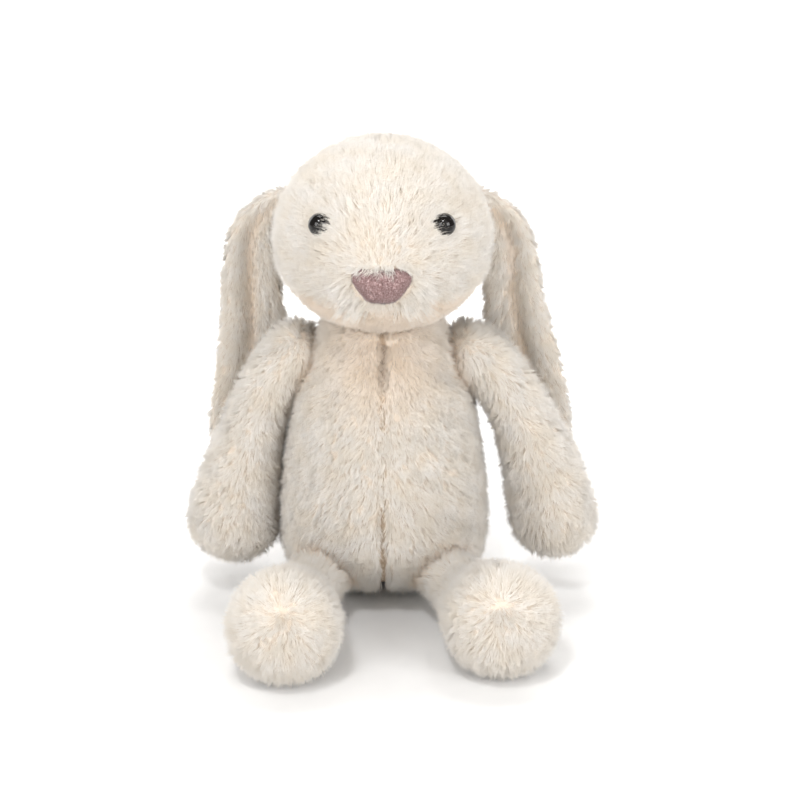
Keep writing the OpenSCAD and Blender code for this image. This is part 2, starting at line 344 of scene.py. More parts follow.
# the middle of each ear, from inside the head to the tip: mm outward, back and down from the root
EAR_PATH = {
    "left": [
        (-7, -4, -3), (1, -2, -1), (8, 1, 5), (13, 4, 14), (15, 8, 26), (15.5, 15, 46),
        (15.5, 21, 66), (18, 25, 92), (24, 27, 118), (27, 28, 134), (28, 28, 141),
    ],
    "right": [
        (-7, -4, -3), (-1, -2, -1), (5.5, 1, 5), (10.5, 4, 14), (13, 8, 26), (14.5, 15, 46),
        (17.5, 21, 66), (23.5, 25, 92), (30, 27, 118), (33, 28, 134), (34, 28, 141),
    ],
}
EAR_HALF_WIDTH = [3, 4, 6, 8.8, 10.8, 12.8, 14.4, 14.8, 12.6, 7.5, 1.5]    # mm, at the same points


def ear_line(side, t):
    """Middle and half width of the ear at each fraction t of its path."""
    path = np.array(EAR_PATH[side]) * MM * [SIDES[side], 1, -1]
    walk = np.concatenate([[0], np.cumsum(np.linalg.norm(np.diff(path, axis=0), axis=1))])
    walk /= walk[-1]
    middle = np.stack([spline(t, walk, path[:, k]) for k in range(3)], -1) + pivot(f"ear_{side}_lift")
    return middle, spline(t, walk, np.array(EAR_HALF_WIDTH) * MM)


def beside_fold(side, points):
    """How far each point is outward from the lengthwise fold of the ear."""
    middle, _ = ear_line(side, np.linspace(0, 1, 60))
    return points[:, 0] - np.interp(-points[:, 2], -middle[:, 2], middle[:, 0])


def ear_skin(side):
    """A flat ear, folded lengthwise into a valley down its front and cupped a little."""
    spine, half = ear_line(side, np.linspace(0, 1, 76))
    along = unit(np.gradient(spine, axis=0))
    across = unit(np.cross(along, [0.0, 1.0, 0.0]))
    through = unit(np.cross(across, along))
    half_thick = np.minimum(half, 3.6 * MM)
    angles = np.linspace(0, 2 * math.pi, 44, endpoint=False)
    u = half[:, None] * np.cos(angles)
    v = half_thick[:, None] * np.sin(angles)
    toward_back = np.sign(through[0][1])
    share = np.where(toward_back * np.sin(angles) < 0, 1.0, 0.35)    # the back follows the valley less
    valley = 3.4 * MM * np.exp(-(u / (3.6 * MM)) ** 2) * np.minimum(1, half / (10 * MM))[:, None]
    cup = 2.5 * MM * (u / (14 * MM)) ** 2
    v = v + toward_back * (valley * share - cup)
    rings = spine[:, None] + across[:, None] * u[..., None] + through[:, None] * v[..., None]
    first = rings[0].mean(0) + UP * 1.5 * MM
    last = rings[-1].mean(0) - UP * 0.8 * MM
    return rings_to_mesh(f"ear_{side}_skin", rings, first, last)


def tail_skin():
    centre = (tail_low + tail_high) / 2
    r = (tail_high[0] - tail_low[0]) / 2 - SKIN_INSET
    centre[1] = tail_high[1] - SKIN_INSET - r
    return limb(
        "tail_skin", bezier(centre - [0, 0.4 * r, 0], centre, centre + [0, 0.05 * r, 0]),
        r, r, lambda t: r, UP
    )


# ---- stuffing: a short cloth simulation blows each skin up against its seams ----

def sewn(part, points):
    """1 where a part's skin is sewn down and stays put, falling to 0 in its free cloth."""
    kind, _, side = part.partition("_")
    x, y, z = points.T
    if kind == "torso":    # the centre seam, the neck and the seat
        return np.exp(-(x / (2.5 * MM)) ** 2) + ease((z - 118 * MM) / (8 * MM)) + ease((10 * MM - z) / (8 * MM))
    if kind == "head":    # the nose and the eyes
        held = np.exp(-(np.linalg.norm(points - NOSE_C, axis=1) / (15 * MM)) ** 4)
        for eye in SIDES:
            held += np.exp(-(np.linalg.norm(points - eye_place(eye)[0], axis=1) / (9 * MM)) ** 4)
        return held
    if kind == "tail":    # where it meets the body
        return ease((tail_low[1] + 5 * MM - y) / (3 * MM))
    if kind == "ear":    # the edges, the fold and the root
        middle, half = ear_line(side, np.linspace(0, 1, 60))
        gap = np.abs(beside_fold(side, points)) / np.interp(-z, -middle[:, 2], half)
        return ease((gap - 0.75) / 0.15) + np.exp(-(gap / 0.18) ** 2) + ease((z - middle[10, 2]) / (8 * MM))
    root = pivot(f"arm_{side}_raise" if kind == "arm" else f"leg_{side}_swing")
    return ease(1 - (np.linalg.norm(points - root, axis=1) - 10 * MM) / (10 * MM))


def applied(piece):
    """Bakes the piece's modifiers into its mesh."""
    graph = bpy.context.evaluated_depsgraph_get()
    mesh = bpy.data.meshes.new_from_object(piece.evaluated_get(graph))
    piece.modifiers.clear()
    old, piece.data = piece.data, mesh
    bpy.data.meshes.remove(old)


def coordinates(mesh):
    co = np.zeros(len(mesh.vertices) * 3, np.float32)
    mesh.vertices.foreach_get("co", co)
    return co.reshape(-1, 3).astype(float)


def place_vertices(mesh, co):
    mesh.vertices.foreach_set("co", co.reshape(-1).astype(np.float32))
    mesh.update()


def vertex_normals(mesh):
    normals = np.zeros(len(mesh.vertices) * 3, np.float32)
    mesh.vertex_normals.foreach_get("vector", normals)
    return normals.reshape(-1, 3).astype(float)


def inset_copy(piece, name, depth):
    """A copy of the piece, shrunk along its normals."""
    mesh = piece.data.copy()
    mesh.name = name
    place_vertices(mesh, coordinates(mesh) - vertex_normals(mesh) * depth)
    copy = bpy.data.objects.new(name, mesh)
    bpy.context.scene.collection.objects.link(copy)
    return copy


def stuff(skins, voxel=4 * MM, ear_voxel=1.52 * MM, cap=2.4 * MM, frames=20):
    """Cloth under pressure, all skins at once: no gravity, sewn lines held, and no point moves past the cap."""
    before = {}
    for part, skin in skins.items():
        remesh = skin.modifiers.new("remesh", "REMESH")
        remesh.mode = "VOXEL"
        remesh.voxel_size = ear_voxel if part.startswith("ear") else voxel
        remesh.use_smooth_shade = True
        applied(skin)
        before[part] = coordinates(skin.data)
        held = np.round(np.clip(sewn(part, before[part]), 0, 1) * 10)
        group = skin.vertex_groups.new(name="sewn")
        for level in range(1, 11):
            group.add(np.flatnonzero(held == level).tolist(), level / 10, "REPLACE")
        cloth = skin.modifiers.new("cloth", "CLOTH")
        settings = cloth.settings
        settings.quality = 6
        settings.mass = 0.002
        settings.tension_stiffness = settings.compression_stiffness = 4
        settings.shear_stiffness, settings.bending_stiffness = 2, 0.02
        settings.vertex_group_mass = "sewn"
        settings.use_pressure = True
        settings.uniform_pressure_force = 16
        settings.effector_weights.gravity = 0
        cloth.point_cache.frame_start, cloth.point_cache.frame_end = 1, frames
    scene = bpy.context.scene
    for frame_number in range(1, frames + 1):
        scene.frame_set(frame_number)
    graph = bpy.context.evaluated_depsgraph_get()
    moved = {}
    for part, skin in skins.items():
        moved[part] = coordinates(skin.evaluated_get(graph).data) - before[part]
    for part, skin in skins.items():
        skin.modifiers.clear()
        skin.vertex_groups.clear()
        far = np.linalg.norm(moved[part], axis=1, keepdims=True)
        step = moved[part] * np.minimum(1, cap / np.maximum(far, 1e-9))
        place_vertices(skin.data, before[part] + step)
        smooth = skin.modifiers.new("subdivision", "SUBSURF")
        smooth.levels = smooth.render_levels = 1
        applied(skin)
    scene.frame_set(1)


def sew_groove(skin):
    """Draws the cloth in along the body's centre seam, front and back, most of all at its ends.

    The faces near the seam are cut finer first. The attribute "seam" is 1 along it; it paints shade into the
    groove by darkening the backing there.
    """
    shape = bmesh.new()
    shape.from_mesh(skin.data)
    finer = 6 * MM
    by_seam = [edge for edge in shape.edges if all(abs(v.co.x) < finer for v in edge.verts)]
    bmesh.ops.subdivide_edges(shape, edges=by_seam, cuts=1, use_grid_fill=True)
    shape.to_mesh(skin.data)
    shape.free()
    co = coordinates(skin.data)
    depth = (0.5 + 2.2 * seam_strength(co[:, 2])) * np.exp(-(co[:, 0] / (1.7 * MM)) ** 2)
    co[:, 1] -= np.sign(co[:, 1]) * depth * MM * ease(np.abs(co[:, 1]) / (12 * MM))
    place_vertices(skin.data, co)
    seam = skin.data.attributes.new("seam", "FLOAT", "POINT")
    seam.data.foreach_set("value", np.exp(-(co[:, 0] / (1.5 * MM)) ** 4).astype(np.float32))


# ---- fur ----

class Surface:
    """The triangles of a skin, for growing fur on."""

    def __init__(self, piece):
        mesh = piece.data
        mesh.calc_loop_triangles()
        tris = np.zeros(len(mesh.loop_triangles) * 3, np.int32)
        mesh.loop_triangles.foreach_get("vertices", tris)
        self.corner = coordinates(mesh)[tris.reshape(-1, 3)]
        self.normal = vertex_normals(mesh)[tris.reshape(-1, 3)]
        a, b, c = self.corner[:, 0], self.corner[:, 1], self.corner[:, 2]
        self.area = np.linalg.norm(np.cross(b - a, c - a), axis=1) / 2

    def sample(self, count, rng):
        """Random points on the surface, evenly spread, and the normals there."""
        chosen = rng.choice(len(self.area), count, p=self.area / self.area.sum())
        u, v = rng.random(count), rng.random(count)
        flip = u + v > 1
        u[flip], v[flip] = 1 - u[flip], 1 - v[flip]
        weights = np.stack([1 - u - v, u, v], 1)[..., None]
        return (self.corner[chosen] * weights).sum(1), unit((self.normal[chosen] * weights).sum(1))


STRANDS_PER_PIECE = 49000   # four faces each, so that a piece stays under 200,000 faces


def spikes(name, roots, tips, normals, width, painted_shade_tint, body, material, rng, root_tone):
    """One mesh of closed, three-sided spikes from roots to tips, shaded mostly like the skin below."""
    count = len(roots)
    axis = unit(tips - roots)
    side = unit(np.cross(axis, unit(rng.normal(size=(count, 3)))))
    other = np.cross(axis, side)
    turn = rng.uniform(0, 2 * math.pi, count)
    points = np.zeros((count, 4, 3))
    for k in range(3):
        angle = turn + k * 2 * math.pi / 3
        points[:, k] = roots + width[:, None] * (
            side * np.cos(angle)[:, None] + other * np.sin(angle)[:, None])
    points[:, 3] = tips
    outward = points - roots[:, None]
    outward[:, 3] = 0
    shading = unit(unit(outward) * 0.25 + normals[:, None])
    shading[:, 3] = normals
    faces = np.array([[0, 1, 3], [1, 2, 3], [2, 0, 3], [0, 2, 1]])
    index = (np.arange(count)[:, None, None] * 4 + faces[None]).reshape(-1).astype(np.int32)
    mesh = bpy.data.meshes.new(name)
    mesh.vertices.add(count * 4)
    mesh.vertices.foreach_set("co", points.reshape(-1).astype(np.float32))
    mesh.loops.add(len(index))
    mesh.loops.foreach_set("vertex_index", index)
    mesh.polygons.add(len(index) // 3)
    mesh.polygons.foreach_set("loop_start", np.arange(0, len(index), 3, dtype=np.int32))
    mesh.polygons.foreach_set("use_smooth", np.ones(len(index) // 3, bool))
    mesh.update(calc_edges=True)
    along = mesh.attributes.new("along", "FLOAT", "POINT")
    tones = np.tile([root_tone, root_tone, root_tone, 1.0], count)
    along.data.foreach_set("value", tones.astype(np.float32))
    # strength of the painted shade: a peach tint for the shade in joins and creases
    warm = mesh.attributes.new("warm", "FLOAT", "POINT")
    warm.data.foreach_set("value", np.repeat(painted_shade_tint, 4).astype(np.float32))
    mesh.normals_split_custom_set_from_vertices(shading.reshape(-1, 3).astype(np.float32))
    piece = bpy.data.objects.new(name, mesh)
    bpy.context.scene.collection.objects.link(piece)
    piece.data.materials.append(material)
    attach(piece, body)


def fur(name, surface, body, material, density, seed, comb, length, lean=36.0,
        clump_r=0.95 * MM, per_clump=8, width=0.17 * MM, keep=None, tousle=0.55, warm=None,
        gather=(0.6, 1.25), root_tone=0.0):
    """Grows fur in small locks, density strands to a square mm, lean degrees from upright.

    comb(points) gives the way it lies, length(points) its length and the tint function how much painted shade, a
    peach tint, each lock takes;
    keep(points) leaves locks out. gather is the range of a lock's width at its tips over that at its roots.
    """
    rng = np.random.default_rng(seed)
    total = int(surface.area.sum() / MM ** 2 * density)
    clumps = max(1, total // per_clump)
    centre, normal = surface.sample(clumps, rng)
    if keep is not None:
        kept = keep(centre)
        centre, normal = centre[kept], normal[kept]
    clumps = len(centre)
    way = comb(centre) + tousle * swirl(centre, 13 * MM, seed + 1) + 0.18 * rng.normal(size=(clumps, 3))
    way = unit(way - (way * normal).sum(1)[:, None] * normal)
    ripple = swirl(centre, 8 * MM, seed + 2)
    tilt = np.radians(lean + 9 * ripple[:, 0] + rng.normal(0, 8, clumps))
    long = length(centre) * (1 + 0.08 * ripple[:, 1]) * rng.uniform(0.85, 1.1, clumps)
    reach = long[:, None] * (normal * np.cos(tilt)[:, None] + way * np.sin(tilt)[:, None])
    across = np.cross(normal, way)

    spread = clump_r * np.sqrt(rng.random((clumps, per_clump)))
    angle = rng.uniform(0, 2 * math.pi, (clumps, per_clump))
    offset = (
        way[:, None] * (spread * np.cos(angle))[..., None]
        + across[:, None] * (spread * np.sin(angle))[..., None]
    )
    roots = centre[:, None] + offset - normal[:, None] * min(0.5 * MM, 3 * width)
    drawn = rng.uniform(*gather, (clumps, 1, 1))
    stray = rng.normal(0, 0.12, (clumps, per_clump, 3)) * long[:, None, None]
    tips = centre[:, None] + reach[:, None] + offset * drawn + stray
    grow = rng.uniform(0.72, 1.06, (clumps, per_clump, 1))
    tips = roots + (tips - roots) * grow
    roots, tips = roots.reshape(-1, 3), tips.reshape(-1, 3)
    facing = np.repeat(normal, per_clump, 0)
    lowest = 0.25 * MM    # the fur underneath stays above the floor
    tips[:, 2] = np.maximum(tips[:, 2], lowest + 0.4 * MM * rng.random(len(tips)))
    roots[:, 2] = np.maximum(roots[:, 2], lowest + 0.3 * MM)
    painted_shade_tint = np.zeros(len(roots)) if warm is None else np.repeat(warm(centre), per_clump)
    thick = width * rng.uniform(0.75, 1.2, len(roots))
    parts = math.ceil(len(roots) / STRANDS_PER_PIECE)
    for number, chosen in enumerate(np.array_split(np.arange(len(roots)), parts), 1):
        label = name if parts == 1 else f"{name}_{number}"
        spikes(label, roots[chosen], tips[chosen], facing[chosen], thick[chosen], painted_shade_tint[chosen],
               body, material, rng, root_tone)


# ---- materials ----

def principled(name, roughness, **plain):
    """A new material with its nodes, links and shader. plain sets the shader's other inputs."""
    material = bpy.data.materials.new(name)
    material.use_nodes = True
    shader = material.node_tree.nodes["Principled BSDF"]
    shader.inputs["Roughness"].default_value = roughness
    for socket, value in plain.items():
        shader.inputs[socket.replace("_", " ")].default_value = value
    return material, material.node_tree.nodes, material.node_tree.links, shader


def ramp(nodes, stops):
    node = nodes.new("ShaderNodeValToRGB")
    elements = node.color_ramp.elements
    while len(elements) < len(stops):
        elements.new(0.5)
    for element, (place, colour) in zip(elements, stops):
        element.position = place
        element.color = (*colour, 1)
    return node


def noise_node(nodes, links, scale, detail=2.0):
    source = nodes.new("ShaderNodeTexCoord")
    node = nodes.new("ShaderNodeTexNoise")
    node.inputs["Scale"].default_value = scale
    node.inputs["Detail"].default_value = detail
    links.new(source.outputs["Object"], node.inputs["Vector"])
    return node


def mix(nodes, links, mode, factor, first, second):
    node = nodes.new("ShaderNodeMix")
    node.data_type = "RGBA"
    node.blend_type = mode
    for label, value in (("Factor", factor), ("A", first), ("B", second)):
        socket = node.inputs[label]
        if hasattr(value, "links"):
            links.new(value, socket)
        else:
            socket.default_value = value
    return node.outputs["Result"]


CREAM_ROOT = (0.88, 0.79, 0.69)
CREAM = (0.93, 0.87, 0.79)
CREAM_TIP = (0.965, 0.93, 0.88)
SHADE_PEACH = (0.97, 0.72, 0.50)
SEAM_GROOVE_SHADE = (0.54, 0.42, 0.31)


def fur_material():
    """Cream plush: a warmer tone at the root, paler at the tip, with small changes from lock to lock, and painted
    shade as a peach tint in joins, folds and under the head.
    """
    material, nodes, links, shader = principled(
        "plush_fur", 0.75, Sheen_Weight=0.25, Sheen_Roughness=0.5, Specular_IOR_Level=0.2)
    along, warm = nodes.new("ShaderNodeAttribute"), nodes.new("ShaderNodeAttribute")
    along.attribute_name, warm.attribute_name = "along", "warm"
    tone = ramp(nodes, [(0.0, CREAM_ROOT), (0.4, CREAM), (1.0, CREAM_TIP)])
    links.new(along.outputs["Fac"], tone.inputs["Fac"])
    patches = noise_node(nodes, links, 90.0, 3.0)
    tint = ramp(nodes, [(0.35, (0.96, 0.93, 0.88)), (0.65, (1.0, 1.0, 1.0))])
    links.new(patches.outputs["Fac"], tint.inputs["Fac"])
    colour = mix(nodes, links, "MULTIPLY", 1.0, tone.outputs["Color"], tint.outputs["Color"])
    # mixes in painted shade: a peach tint where joins, folds and the head shade the pile
    colour = mix(nodes, links, "MIX", warm.outputs["Fac"], colour, (*SHADE_PEACH, 1))
    links.new(colour, shader.inputs["Base Color"])
    return material


def skin_material():
    """The knitted backing under the pile, with painted shade darker along the groove of the body's seam."""
    material, nodes, links, shader = principled("plush_backing", 0.9, Specular_IOR_Level=0.1)
    knit = noise_node(nodes, links, 900.0, 3.0)
    # the backing's tone is close to the shaded pile's: where it shows between the locks it stands in as painted
    # shade
    tone = ramp(nodes, [(0.3, (0.70, 0.60, 0.50)), (0.7, (0.75, 0.66, 0.56))])
    links.new(knit.outputs["Fac"], tone.inputs["Fac"])
    seam = nodes.new("ShaderNodeAttribute")
    seam.attribute_name = "seam"
    # painted shade in the seam's groove
    colour = mix(nodes, links, "MIX", seam.outputs["Fac"], tone.outputs["Color"], (*SEAM_GROOVE_SHADE, 1))
    links.new(colour, shader.inputs["Base Color"])
    return material


def velour_material():
    """Dusty-pink short-nap velour whose grain varies its tone; the pale flecks in its colour are a painted
    sparkle, fine highlights of the nap.
    """
    material, nodes, links, shader = principled(
        "nose_velour", 0.8, Sheen_Weight=0.6, Sheen_Roughness=0.35, Specular_IOR_Level=0.25)
    nap = noise_node(nodes, links, 1900.0, 3.0)
    # the palest stop paints the sparkle
    tone = ramp(nodes, [(0.3, (0.20, 0.12, 0.115)), (0.5, (0.34, 0.215, 0.21)), (0.7, (0.68, 0.52, 0.51))])
    links.new(nap.outputs["Fac"], tone.inputs["Fac"])
    links.new(tone.outputs["Color"], shader.inputs["Base Color"])
    return material


def eye_material():
    """Glossy black plastic, very slightly brown, with a faint swirl of moulding."""
    material, nodes, links, shader = principled("eye_gloss", 0.03, Specular_IOR_Level=0.4)
    moulding = noise_node(nodes, links, 260.0, 2.0)
    tone = ramp(nodes, [(0.3, (0.002, 0.0015, 0.0015)), (0.8, (0.006, 0.004, 0.0035))])
    links.new(moulding.outputs["Fac"], tone.inputs["Fac"])
    links.new(tone.outputs["Color"], shader.inputs["Base Color"])
    return material


def cloth_material(name, dark, light, scale, roughness=0.9):
    """Plain cloth or fibre with two tones of grain."""
    material, nodes, links, shader = principled(name, roughness, Sheen_Weight=0.15)
    grain = noise_node(nodes, links, scale, 4.0)
    tone = ramp(nodes, [(0.35, dark), (0.65, light)])
    links.new(grain.outputs["Fac"], tone.inputs["Fac"])
    links.new(tone.outputs["Color"], shader.inputs["Base Color"])
    return material


# ---- nose and eyes ----

def nose_piece():
    """A crowned velour pad that follows the muzzle, with its edge tucked into the fur."""
    rings, around = 16, 80
    w, h = NOSE_W / 2, NOSE_H / 2
    # corner circles: the walk round them is a smooth rounded triangle, point down
    middles = np.array([[0.66, 0.42], [-0.66, 0.42], [0.2, -0.08], [-0.2, -0.08]]) * [w, h]
    radii = np.array([0.34 * w, 0.34 * w, 0.92 * h, 0.92 * h])
    outline = []
    for a in np.linspace(0, 2 * math.pi, around, endpoint=False):
        way = np.array([math.cos(a), math.sin(a)])
        k = int(np.argmax(middles @ way + radii))
        outline.append(middles[k] + radii[k] * way)
    outline = np.array(outline)
    # even spacing along the outline
    closed = np.vstack([outline, outline[:1]])
    walk = np.concatenate([[0], np.cumsum(np.linalg.norm(np.diff(closed, axis=0), axis=1))])
    even = np.linspace(0, walk[-1], around, endpoint=False)
    outline = np.stack([np.interp(even, walk, closed[:, k]) for k in range(2)], 1)

    tree = trees["head"]

    def place(p, rise):
        """The point at p across the face, rise in front of the head's skin."""
        start = Vector((NOSE_C[0] + p[0], HEAD_C[1] - 120 * MM, NOSE_C[2] + p[1]))
        hit = tree.ray_cast(start, Vector((0, 1, 0)))[0]
        return np.array(hit) + FRONT * rise

    crown, fall, under = 4.2, 2.9, -1.8    # mm: rise in the middle, its loss at the edge, the underside
    layers = []
    for i in range(1, rings + 1):
        s = i / rings
        layers.append([place(p * s, (crown - fall * s ** 3.2) * MM) for p in outline])
    for size, rise in ((0.985, 0.3), (0.93, -1.2), (0.6, under)):
        layers.append([place(p * size, rise * MM) for p in outline])
    return rings_to_mesh(
        "nose_pad_velour", np.array(layers), place([0, 0], crown * MM), place([0, 0], under * MM))


def turned(name, profile, around, origin, axis):
    """A turned piece: profile is (radius, height) pairs from its lowest to its highest point."""
    axis = unit(np.array(axis, float))
    side = unit(np.cross(axis, [0.3, 0.1, 1.0]))
    other = np.cross(axis, side)
    angles = np.linspace(0, 2 * math.pi, around, endpoint=False)
    circle = side * np.cos(angles)[:, None] + other * np.sin(angles)[:, None]
    rings = np.array([origin + circle * r + axis * h for r, h in profile[1:-1]])
    return rings_to_mesh(name, rings, origin + axis * profile[0][1], origin + axis * profile[-1][1])


def eye_place(side):
    """The middle of the eye's ball and the way the eye looks."""
    low, high = corners(f"eye_{side}")
    sign = SIDES[side]
    outer = high[0] if sign > 0 else low[0]
    ball = np.array([outer - sign * EYE_R, low[1] + EYE_R, high[2] - EYE_R])
    washer_low, washer_high = corners(f"eye_washer_{side}")
    return ball, unit(ball - (washer_low + washer_high) / 2)


def eye_piece(side):
    """A domed eye on its shank."""
    ball, look = eye_place(side)
    dome = [(EYE_R * math.cos(a), EYE_R * math.sin(a)) for a in np.linspace(-0.35, math.pi / 2, 26)]
    shank = [(0, -13), (1.6, -13), (1.8, -12.6), (1.8, -2.4), (4.2, -2.1)]    # mm
    profile = [(r * MM, h * MM) for r, h in shank] + dome[:-1] + [(0, EYE_R)]
    return turned(f"eye_{side}_dome", profile, 56, ball + look * 0.4 * MM, look)


def stitches(name, facing):
    """A row of small stitches along the body's centre seam. facing is -1 in front, 1 behind."""
    pitch, half, thick = 3.4 * MM, 1.3 * MM, 0.42 * MM
    sides, hoops = 8, 5
    around = np.linspace(0, 2 * math.pi, sides, endpoint=False)
    faces, points = [], []
    for z in np.arange(9 * MM, 112 * MM, pitch):
        hits = [
            trees["torso"].ray_cast(Vector((0, facing * 0.2, z + dz)), Vector((0, -facing, 0)))[0]
            for dz in (-half, 0, half)
        ]
        if None in hits:
            continue
        low, middle, high = (np.array(hit) for hit in hits)
        start = len(points)
        for t in np.linspace(-1, 1, hoops + 2)[1:-1]:
            at = middle + (high - low) / 2 * t + [0, facing * (0.3 * (1 - t * t) - 0.25) * MM, 0]
            r = thick * math.sqrt(1 - t * t)
            points += [at + [r * math.cos(a), r * math.sin(a), 0] for a in around]
        last, ends = start + sides * (hoops - 1), len(points)
        points += [low, high]
        for j in range(sides):
            k = (j + 1) % sides
            for a in range(start, last, sides):
                b = a + sides
                faces.append((a + j, a + k, b + k, b + j))
            faces.append((ends, start + k, start + j))
            faces.append((ends + 1, last + j, last + k))
    return new_mesh(name, points, faces)


# ---- build ----

plush = fur_material()
backing = skin_material()
velour = velour_material()
eye_gloss = eye_material()

skins = {"torso": torso_skin(), "head": head_skin(), "tail": tail_skin()}
for side in SIDES:
    skins[f"arm_{side}"] = arm_skin(side)
    skins[f"leg_{side}"] = leg_skin(side)
    skins[f"ear_{side}"] = ear_skin(side)

stuff(skins)
sew_groove(skins["torso"])
fibre = cloth_material("filling_fibre", (0.80, 0.80, 0.78), (0.95, 0.95, 0.94), 700.0)

trees = {}
for part, skin in skins.items():
    trees[part] = BVHTree.FromPolygons(
        [v.co for v in skin.data.vertices], [f.vertices[:] for f in skin.data.polygons])
    body = "torso" if part == "tail" else part
    skin.data.materials.append(backing)
    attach(skin, body)
    kind = part.split("_")[0]
    if kind == "ear":
        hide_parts(f"{part}_front_panel", f"{part}_back_panel")
    else:
        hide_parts(f"{part}_cover")
    if kind != "ear":
        filling = inset_copy(skin, f"{part}_filling", 1.4 * MM)
        filling.data.materials.clear()
        filling.data.materials.append(fibre)
        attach(filling, body)
        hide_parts(f"{part}_stuffing")

nose = nose_piece()
nose.data.materials.append(velour)
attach(nose, "head")
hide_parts("nose_pad")

thread = cloth_material("seam_thread", (0.62, 0.50, 0.39), (0.78, 0.67, 0.55), 2500.0, 0.7)
for name, facing in (("front", -1), ("back", 1)):
    row = stitches(f"{name}_seam_stitches", facing)
    row.data.materials.append(thread)
    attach(row, "torso")
    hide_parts(f"{name}_seam_thread")

for side in SIDES:
    eye = eye_piece(side)
    eye.data.materials.append(eye_gloss)
    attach(eye, "head")
    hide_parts(f"eye_{side}")


# ---- fur on each part ----

FACE_DEPTH = 30 * MM    # the muzzle stands further forward of the head's middle than this


def all_over(length):
    return lambda points: np.full(len(points), length)


def one_way(direction):
    return lambda points: np.repeat(direction[None], len(points), 0)


def away_from(place):
    return lambda points: unit(points - place)


def clear_of_face(points):
    """Leaves out fur on the eyes and on the nose pad."""
    keep = np.ones(len(points), bool)
    for side in SIDES:
        ball, _ = eye_place(side)
        middle = ball + [SIDES[side] * 1.4 * MM, 0, 0]
        keep &= np.linalg.norm((points - middle) * [1.35, 1, 0.95], axis=1) > EYE_R
    off = (points - NOSE_C) / [NOSE_W / 2 - 0.3 * MM, 1.0, NOSE_H / 2 - 0.3 * MM]
    inside = (np.abs(off[:, 0]) < 1 - 0.5 * np.clip(-off[:, 2], 0, 1) ** 2) & (np.abs(off[:, 2]) < 1)
    keep &= ~(inside & (points[:, 1] < HEAD_C[1]))
    return keep


def painted_join_shade(*others, reach=4.5 * MM, strength=0.75):
    """How close each point is to the other parts, up to strength: painted shade, a warmer tint of the pile in the
    joins where shade falls.
    """
    def painted_shade_tint(points):
        gaps = np.array([[trees[other].find_nearest(Vector(p))[3] for p in points] for other in others])
        return strength * np.exp(-(gaps.min(0) / reach) ** 2)

    return painted_shade_tint


def most(*tints):
    """The strongest of several tints at each point."""
    return lambda points: np.max([tint(points) for tint in tints], axis=0)


def chin(points):
    """1 under the nose and on the chin, where the pile is short and smooth and takes painted shade."""
    below_nose = ease((NOSE_C[2] - 6 * MM - points[:, 2]) / (9 * MM))
    return below_nose * ease((HEAD_C[1] - points[:, 1]) / (20 * MM))


def head_length(points):
    """Short round the nose and on the chin, long on the cheeks and the crown."""
    gap = np.linalg.norm(points - NOSE_C, axis=1)
    return PILE * (0.85 + 0.2 * ease((gap - 14 * MM) / (20 * MM))) * (1 - 0.5 * chin(points))


head_surface = Surface(skins["head"])
# the tint paints shade: peach in the joins with the body and ears, and on the chin under the muzzle
fur("head_fur", head_surface, "head", plush, density=6.6, seed=11,
    comb=away_from(NOSE_C + [0, 0, 2 * MM]), length=head_length, lean=42, keep=clear_of_face,
    warm=most(painted_join_shade("torso", "ear_left", "ear_right"), lambda p: 0.45 * chin(p)))


def beside_nose(points):
    """The two cheeks of the muzzle, where longer tufts grow."""
    gap = np.abs(points[:, 0] - NOSE_C[0])
    drop = points[:, 2] - NOSE_C[2]
    return (
        (gap > 6 * MM) & (gap < 17 * MM) & (drop < 4 * MM) & (drop > -13 * MM)
        & (points[:, 1] < HEAD_C[1] - FACE_DEPTH) & clear_of_face(points)
    )


def whisker_comb(points):
    sign = np.sign(points[:, 0] - NOSE_C[0])
    return np.stack([0.8 * sign, np.zeros(len(points)), -0.9 * np.ones(len(points))], 1)


fur("whisker_fur", head_surface, "head", plush, density=3.4, seed=60,
    comb=whisker_comb, length=all_over(1.75 * PILE), lean=40, keep=beside_nose, gather=(0.3, 1.1),
    tousle=0.6, root_tone=0.5, per_clump=12, width=0.12 * MM)


def above_nose(points):
    """A narrow band along the upper edge of the nose pad."""
    gap = (points[:, 0] - NOSE_C[0]) / (NOSE_W / 2)
    rise = points[:, 2] - (NOSE_C[2] + NOSE_H / 2)
    return (
        (np.abs(gap) < 1.15) & (rise > -1.2 * MM) & (rise < 2.6 * MM)
        & (points[:, 1] < HEAD_C[1] - FACE_DEPTH)
    )


def brow_comb(points):
    return np.stack([(points[:, 0] - NOSE_C[0]) / (12 * MM), np.zeros(len(points)), -np.ones(len(points))], 1)


fur("brow_fur", head_surface, "head", plush, density=7.0, seed=62,
    comb=brow_comb, length=all_over(1.05 * PILE), lean=26, keep=above_nose, gather=(0.2, 0.8),
    tousle=0.7, root_tone=0.4)


def inside_of_eyes(points):
    """A crescent on the inner side of each eye, where the pile stands over the eye's edge."""
    found = np.zeros(len(points), bool)
    for side, sign in SIDES.items():
        off = (points - eye_place(side)[0])[:, [0, 2]] / MM
        inward = -sign * off[:, 0]
        found |= (inward > 0.9) & (inward < 6.5) & (np.abs(off[:, 1]) < 5.8)
    return found & (points[:, 1] < HEAD_C[1])


def eye_comb(points):
    return np.stack([np.sign(points[:, 0]), np.zeros(len(points)), np.full(len(points), 0.25)], 1)


fur("eye_fur", head_surface, "head", plush, density=9.0, seed=63,
    comb=eye_comb, length=all_over(1.2 * PILE), lean=20, keep=inside_of_eyes, gather=(0.4, 1.0),
    tousle=0.4, root_tone=0.3)

fur("nose_nap", Surface(nose), "head", velour, density=16.0, seed=61,
    comb=one_way(-UP), length=all_over(0.9 * MM), lean=25, clump_r=0.5 * MM, per_clump=5,
    width=0.1 * MM, keep=lambda p: p[:, 1] < NOSE_C[1] + 2 * MM)


